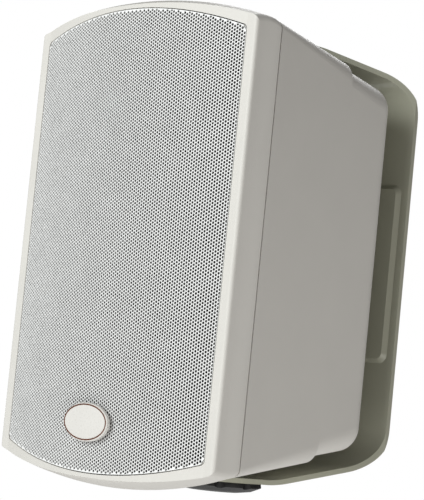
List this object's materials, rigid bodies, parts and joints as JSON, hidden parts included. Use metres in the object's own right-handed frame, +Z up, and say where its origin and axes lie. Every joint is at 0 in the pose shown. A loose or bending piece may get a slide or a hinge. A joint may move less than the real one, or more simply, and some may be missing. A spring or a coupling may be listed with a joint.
{
  "type": "outdoor patio speaker",
  "caption": "Weatherproof two-way wall speaker with a bowed perforated grille and arched ends, swivelling between the arms of a C-shaped wall bracket.",
  "frame": {"origin": "centre of the bracket's rear face, on the wall", "axes": "+Z up, -Y out of the front of the speaker, +Y into the wall, +X to the right seen from the front"},
  "size_m": [0.192, 0.1757, 0.2866],
  "materials": {
    "shell_white": "satin",
    "bracket_grey": "gloss",
    "knob_black": "satin",
    "grille_white": "satin",
    "cloth_black": "matte",
    "badge_white": "gloss",
    "badge_copper": "satin",
    "plated_steel": "satin",
    "brass_parts": "satin",
    "rubber_black": "matte",
    "ferrite": "matte",
    "basket_black": "satin",
    "cone_grey": "satin",
    "coil_copper": "satin",
    "spider_cloth": "matte",
    "dome_aluminium": "satin",
    "horn_black": "satin",
    "cap_red": "gloss",
    "cap_black": "gloss",
    "board_green": "satin",
    "capacitor_film": "gloss"
  },
  "bodies": {
    "bracket": {"c_bracket": "bracket_grey"},
    "cabinet": {"badge": "badge_white", "badge_ring": "badge_copper", "baffle_screws": "plated_steel", "crossover_board": "board_green", "crossover_capacitors": "capacitor_film", "crossover_coils": "coil_copper", "front_baffle": "shell_white", "grille": "grille_white", "grille_cloth": "cloth_black", "horn_screws": "plated_steel", "pivot_inserts": "brass_parts", "pivot_washers": "rubber_black", "rear_cabinet": "shell_white", "seam_gasket": "rubber_black", "terminal_cup": "horn_black", "terminal_gasket": "rubber_black", "terminal_screws": "plated_steel", "terminal_studs": "brass_parts", "tweeter_front_plate": "plated_steel", "tweeter_horn": "horn_black", "tweeter_magnet": "ferrite", "tweeter_surround": "spider_cloth", "tweeter_yoke": "plated_steel", "woofer_basket": "basket_black", "woofer_front_plate": "plated_steel", "woofer_magnet": "ferrite", "woofer_screws": "plated_steel", "woofer_spider": "spider_cloth", "woofer_surround": "rubber_black", "woofer_yoke": "plated_steel"},
    "upper_knob": {"upper_knob": "knob_black", "upper_knob_stud": "plated_steel"},
    "lower_knob": {"lower_knob": "knob_black", "lower_knob_stud": "plated_steel"},
    "woofer_cone": {"woofer_cone": "cone_grey", "woofer_dust_cap": "cone_grey", "woofer_voice_coil": "coil_copper"},
    "tweeter_dome": {"tweeter_dome": "dome_aluminium"},
    "red_post_cap": {"red_post_cap": "cap_red"},
    "black_post_cap": {"black_post_cap": "cap_black"}
  },
  "joints": [
    {"name": "cabinet_pan", "type": "hinge", "parent": "bracket", "child": "cabinet", "pos_m": [0, -0.068, 0], "axis": [0, 0, 1], "range_deg": [-15, 15]},
    {"name": "upper_knob_turn", "type": "hinge", "parent": "cabinet", "child": "upper_knob", "pos_m": [0, -0.068, 0.135], "axis": [0, 0, 1], "range_deg": [0, 720]},
    {"name": "lower_knob_turn", "type": "hinge", "parent": "cabinet", "child": "lower_knob", "pos_m": [0, -0.068, -0.135], "axis": [0, 0, -1], "range_deg": [0, 720]},
    {"name": "woofer_excursion", "type": "slide", "parent": "cabinet", "child": "woofer_cone", "axis": [0, -1, 0], "range_m": [-0.004, 0.004], "stiffness_N_per_m": 900, "deforming": ["woofer_surround", "woofer_spider"]},
    {"name": "tweeter_excursion", "type": "slide", "parent": "cabinet", "child": "tweeter_dome", "axis": [0, -1, 0], "range_m": [-0.0003, 0.0003], "stiffness_N_per_m": 600, "deforming": ["tweeter_surround"]},
    {"name": "red_cap_turn", "type": "hinge", "parent": "cabinet", "child": "red_post_cap", "pos_m": [0.012, -0.0405, -0.035], "axis": [0, 1, 0], "range_deg": [0, 720]},
    {"name": "black_cap_turn", "type": "hinge", "parent": "cabinet", "child": "black_post_cap", "pos_m": [-0.012, -0.0405, -0.035], "axis": [0, 1, 0], "range_deg": [0, 720]}
  ]
}
